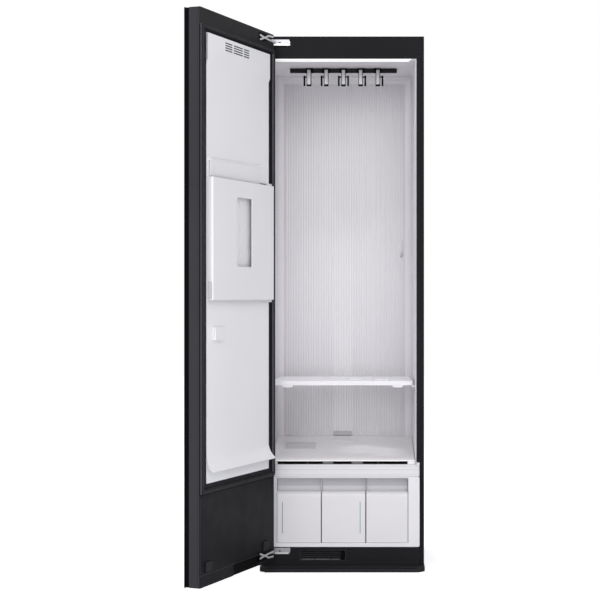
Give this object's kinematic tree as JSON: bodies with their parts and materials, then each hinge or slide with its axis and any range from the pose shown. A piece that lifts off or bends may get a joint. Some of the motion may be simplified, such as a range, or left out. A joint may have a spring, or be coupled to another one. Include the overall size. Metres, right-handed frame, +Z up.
{
  "type": "clothes care steam cabinet",
  "caption": "Tall clothes care cabinet with an open hinged glass door, trouser press, ribbed steam chamber, moving hanger bar, shelf and a bay of tanks and drawer.",
  "frame": {"origin": "on the floor, centred across the cabinet's width, on the plane of the cabinet's front face", "axes": "+X to the cabinet's right as seen from the front, +Y from the front face into the cabinet, +Z up"},
  "size_m": [0.8109, 1.1498, 1.96],
  "materials": {
    "black_steel": "satin black powder coat",
    "grey_steel": "satin dark grey paint",
    "galvanised_steel": "plain galvanised sheet",
    "silver_metal": "satin plated metal",
    "aluminium_fins": "plain fins",
    "black_plastic": "fine grained black",
    "white_plastic": "satin white",
    "liner_plastic": "satin pale grey",
    "grey_plastic": "satin light grey",
    "light_diffuser": "frosted white",
    "black_rubber": "matt seal",
    "dark_glass": "tinted, printed black behind"
  },
  "bodies": {
    "cabinet": {"side_panel_left": "black_steel", "side_panel_right": "black_steel", "front_header": "black_steel", "top_cover": "black_steel", "back_panel": "galvanised_steel", "cord_gland": "black_plastic", "base_pan": "galvanised_steel", "plinth_cover": "black_plastic", "foot_rail_front": "black_plastic", "foot_rail_rear": "black_plastic", "kick_panel": "black_plastic", "shelf_ledge_left": "liner_plastic", "shelf_ledge_right": "liner_plastic", "intake_grille": "black_plastic", "chamber_liner": "liner_plastic", "chamber_cove": "liner_plastic", "rib_panel": "liner_plastic", "steam_vent": "grey_plastic", "light_bar": "light_diffuser", "sill": "white_plastic", "floor_tray": "white_plastic", "hanger_drive": "galvanised_steel", "bay_frame": "white_plastic", "bay_box": "white_plastic", "hinge_plate_top": "silver_metal", "hinge_plate_bottom": "silver_metal", "compressor": "black_steel", "evaporator": "aluminium_fins", "condenser": "aluminium_fins", "fan_housing": "white_plastic", "steam_generator": "galvanised_steel", "water_pump": "black_plastic", "control_box": "black_plastic"},
    "door": {"door_glass": "dark_glass", "glass_carrier": "black_plastic", "door_frame": "grey_steel", "door_inner_cover": "black_plastic", "door_gasket": "black_rubber", "door_liner": "white_plastic", "door_vent": "grey_plastic", "press_board": "white_plastic", "trouser_clip": "white_plastic"},
    "press": {"press_panel": "white_plastic"},
    "latch": {"press_latch": "grey_plastic"},
    "hem_flap": {"hem_clamp": "white_plastic"},
    "moving_bar": {"hanger_bar": "black_plastic"},
    "holder_1": {"hanger_holder_1": "silver_metal"},
    "holder_2": {"hanger_holder_2": "silver_metal"},
    "holder_3": {"hanger_holder_3": "silver_metal"},
    "holder_4": {"hanger_holder_4": "silver_metal"},
    "holder_5": {"hanger_holder_5": "silver_metal"},
    "fill_tank_unit": {"fill_tank": "grey_plastic", "fill_tank_front": "white_plastic"},
    "drain_tank_unit": {"drain_tank": "grey_plastic", "drain_tank_front": "white_plastic"},
    "drawer_unit": {"accessory_drawer": "white_plastic", "accessory_drawer_front": "white_plastic"},
    "filter": {"lint_filter": "black_plastic"},
    "shelf_board": {"shelf": "white_plastic"},
    "fan_wheel": {"fan_impeller": "grey_plastic"}
  },
  "joints": [
    {"name": "door_hinge", "type": "hinge", "parent": "cabinet", "child": "door", "pos_m": [-0.291, -0.053, 1], "axis": [0, 0, -1], "range_deg": [-110.5, 0]},
    {"name": "press_hinge", "type": "hinge", "parent": "door", "child": "press", "pos_m": [-0.25969, -0.11488, 1.19], "axis": [0, 0, 1], "range_deg": [0, 85]},
    {"name": "press_latch_slide", "type": "slide", "parent": "press", "child": "latch", "axis": [0.3502, 0.9367, 0], "range_m": [0, 0.003], "stiffness_N_per_m": 200},
    {"name": "hem_clamp_hinge", "type": "hinge", "parent": "door", "child": "hem_flap", "pos_m": [-0.34608, -0.34308, 1.462], "axis": [-0.3502, -0.9367, 0], "range_deg": [0, 35]},
    {"name": "hanger_bar_slide", "type": "slide", "parent": "cabinet", "child": "moving_bar", "axis": [1, 0, 0], "range_m": [-0.015, 0.015]},
    {"name": "holder_1_twist", "type": "hinge", "parent": "moving_bar", "child": "holder_1", "pos_m": [-0.131, 0.205, 1.84], "axis": [0, 0, 1], "range_deg": [-15, 15]},
    {"name": "holder_2_twist", "type": "hinge", "parent": "moving_bar", "child": "holder_2", "pos_m": [-0.0655, 0.205, 1.84], "axis": [0, 0, 1], "range_deg": [-15, 15]},
    {"name": "holder_3_twist", "type": "hinge", "parent": "moving_bar", "child": "holder_3", "pos_m": [0, 0.205, 1.84], "axis": [0, 0, 1], "range_deg": [-15, 15]},
    {"name": "holder_4_twist", "type": "hinge", "parent": "moving_bar", "child": "holder_4", "pos_m": [0.0655, 0.205, 1.84], "axis": [0, 0, 1], "range_deg": [-15, 15]},
    {"name": "holder_5_twist", "type": "hinge", "parent": "moving_bar", "child": "holder_5", "pos_m": [0.131, 0.205, 1.84], "axis": [0, 0, 1], "range_deg": [-15, 15]},
    {"name": "fill_tank_slide", "type": "slide", "parent": "cabinet", "child": "fill_tank_unit", "axis": [0, -1, 0], "range_m": [0, 0.25]},
    {"name": "drain_tank_slide", "type": "slide", "parent": "cabinet", "child": "drain_tank_unit", "axis": [0, -1, 0], "range_m": [0, 0.25]},
    {"name": "drawer_slide", "type": "slide", "parent": "cabinet", "child": "drawer_unit", "axis": [0, -1, 0], "range_m": [0, 0.25]},
    {"name": "filter_slide", "type": "slide", "parent": "cabinet", "child": "filter", "axis": [0, -1, 0], "range_m": [0, 0.2]},
    {"name": "shelf_slide", "type": "slide", "parent": "cabinet", "child": "shelf_board", "axis": [0, -1, 0], "range_m": [0, 0.1]},
    {"name": "fan_spin", "type": "hinge", "parent": "cabinet", "child": "fan_wheel", "pos_m": [0.1702, 0.401, 0.2166], "axis": [0, 1, 0], "continuous": true}
  ],
  "couplings": [
    {"joint": "holder_1_twist", "follows": "hanger_bar_slide", "rad_per_m": 17.4},
    {"joint": "holder_2_twist", "follows": "hanger_bar_slide", "rad_per_m": 17.4},
    {"joint": "holder_3_twist", "follows": "hanger_bar_slide", "rad_per_m": 17.4},
    {"joint": "holder_4_twist", "follows": "hanger_bar_slide", "rad_per_m": 17.4},
    {"joint": "holder_5_twist", "follows": "hanger_bar_slide", "rad_per_m": 17.4}
  ]
}
